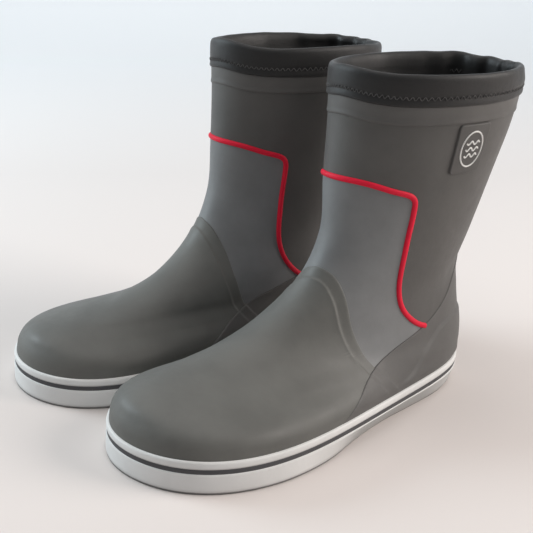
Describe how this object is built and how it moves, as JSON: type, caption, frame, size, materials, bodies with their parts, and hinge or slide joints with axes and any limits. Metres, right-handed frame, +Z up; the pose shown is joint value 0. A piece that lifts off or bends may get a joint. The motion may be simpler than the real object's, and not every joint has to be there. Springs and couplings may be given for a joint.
{
  "type": "pair of deck boots",
  "caption": "Pair of short rubber deck boots with foxed flat soles, an instep panel edged in raised piping, and a padded fabric cuff.",
  "frame": {"origin": "on the ground, in the middle of the pair's bounding box", "axes": "+Z up, toes towards -Y, the left boot on +X and the right boot on -X"},
  "size_m": [0.2596, 0.311, 0.2352],
  "materials": {
    "outsole_rubber": "matte, siped tread",
    "sidewall_rubber": "smooth matte light grey",
    "stripe_rubber": "smooth matte",
    "sponge": "open sponge",
    "insole_board": "leatherboard",
    "footbed_foam": "textile-topped foam",
    "lining_textile": "knitted textile",
    "stiffener": "matte",
    "upper_rubber": "satin, fine grain",
    "panel_rubber": "satin, fine grain",
    "piping_rubber": "satin",
    "vamp_rubber": "satin, fine grain",
    "counter_rubber": "satin, fine grain",
    "band_rubber": "satin, smooth",
    "cuff_fabric": "soft coated fabric, matte",
    "cuff_wadding": "loose wadding",
    "thread": "matte thread",
    "patch_rubber": "satin",
    "emblem_rubber": "matte white"
  },
  "bodies": {
    "left_boot": {"left_outsole": "outsole_rubber", "left_foxing_sidewall": "sidewall_rubber", "left_foxing_stripe": "stripe_rubber", "left_foxing_rim": "sidewall_rubber", "left_midsole": "sponge", "left_insole_board": "insole_board", "left_lining": "lining_textile", "left_toe_puff": "stiffener", "left_heel_stiffener": "stiffener", "left_shaft": "upper_rubber", "left_instep_panel": "panel_rubber", "left_piping": "piping_rubber", "left_vamp": "vamp_rubber", "left_heel_counter": "counter_rubber", "left_top_band": "band_rubber", "left_cuff": "cuff_fabric", "left_cuff_padding": "cuff_wadding", "left_cuff_stitching": "thread", "left_badge_patch": "patch_rubber", "left_badge_emblem": "emblem_rubber"},
    "right_boot": {"right_outsole": "outsole_rubber", "right_foxing_sidewall": "sidewall_rubber", "right_foxing_stripe": "stripe_rubber", "right_foxing_rim": "sidewall_rubber", "right_midsole": "sponge", "right_insole_board": "insole_board", "right_lining": "lining_textile", "right_toe_puff": "stiffener", "right_heel_stiffener": "stiffener", "right_shaft": "upper_rubber", "right_instep_panel": "panel_rubber", "right_piping": "piping_rubber", "right_vamp": "vamp_rubber", "right_heel_counter": "counter_rubber", "right_top_band": "band_rubber", "right_cuff": "cuff_fabric", "right_cuff_padding": "cuff_wadding", "right_cuff_stitching": "thread", "right_badge_patch": "patch_rubber", "right_badge_emblem": "emblem_rubber"},
    "left_footbed": {"left_footbed": "footbed_foam"},
    "right_footbed": {"right_footbed": "footbed_foam"}
  },
  "joints": [
    {"name": "right_boot_apart", "type": "slide", "parent": "left_boot", "child": "right_boot", "axis": [-1, 0, 0], "range_m": [-0.009, 0.3]},
    {"name": "left_footbed_lift", "type": "hinge", "parent": "left_boot", "child": "left_footbed", "pos_m": [0.064, -0.14718, 0.0118], "axis": [1, 0, 0], "range_deg": [0, 4]},
    {"name": "right_footbed_lift", "type": "hinge", "parent": "right_boot", "child": "right_footbed", "pos_m": [-0.064, -0.14718, 0.0118], "axis": [1, 0, 0], "range_deg": [0, 4]}
  ]
}
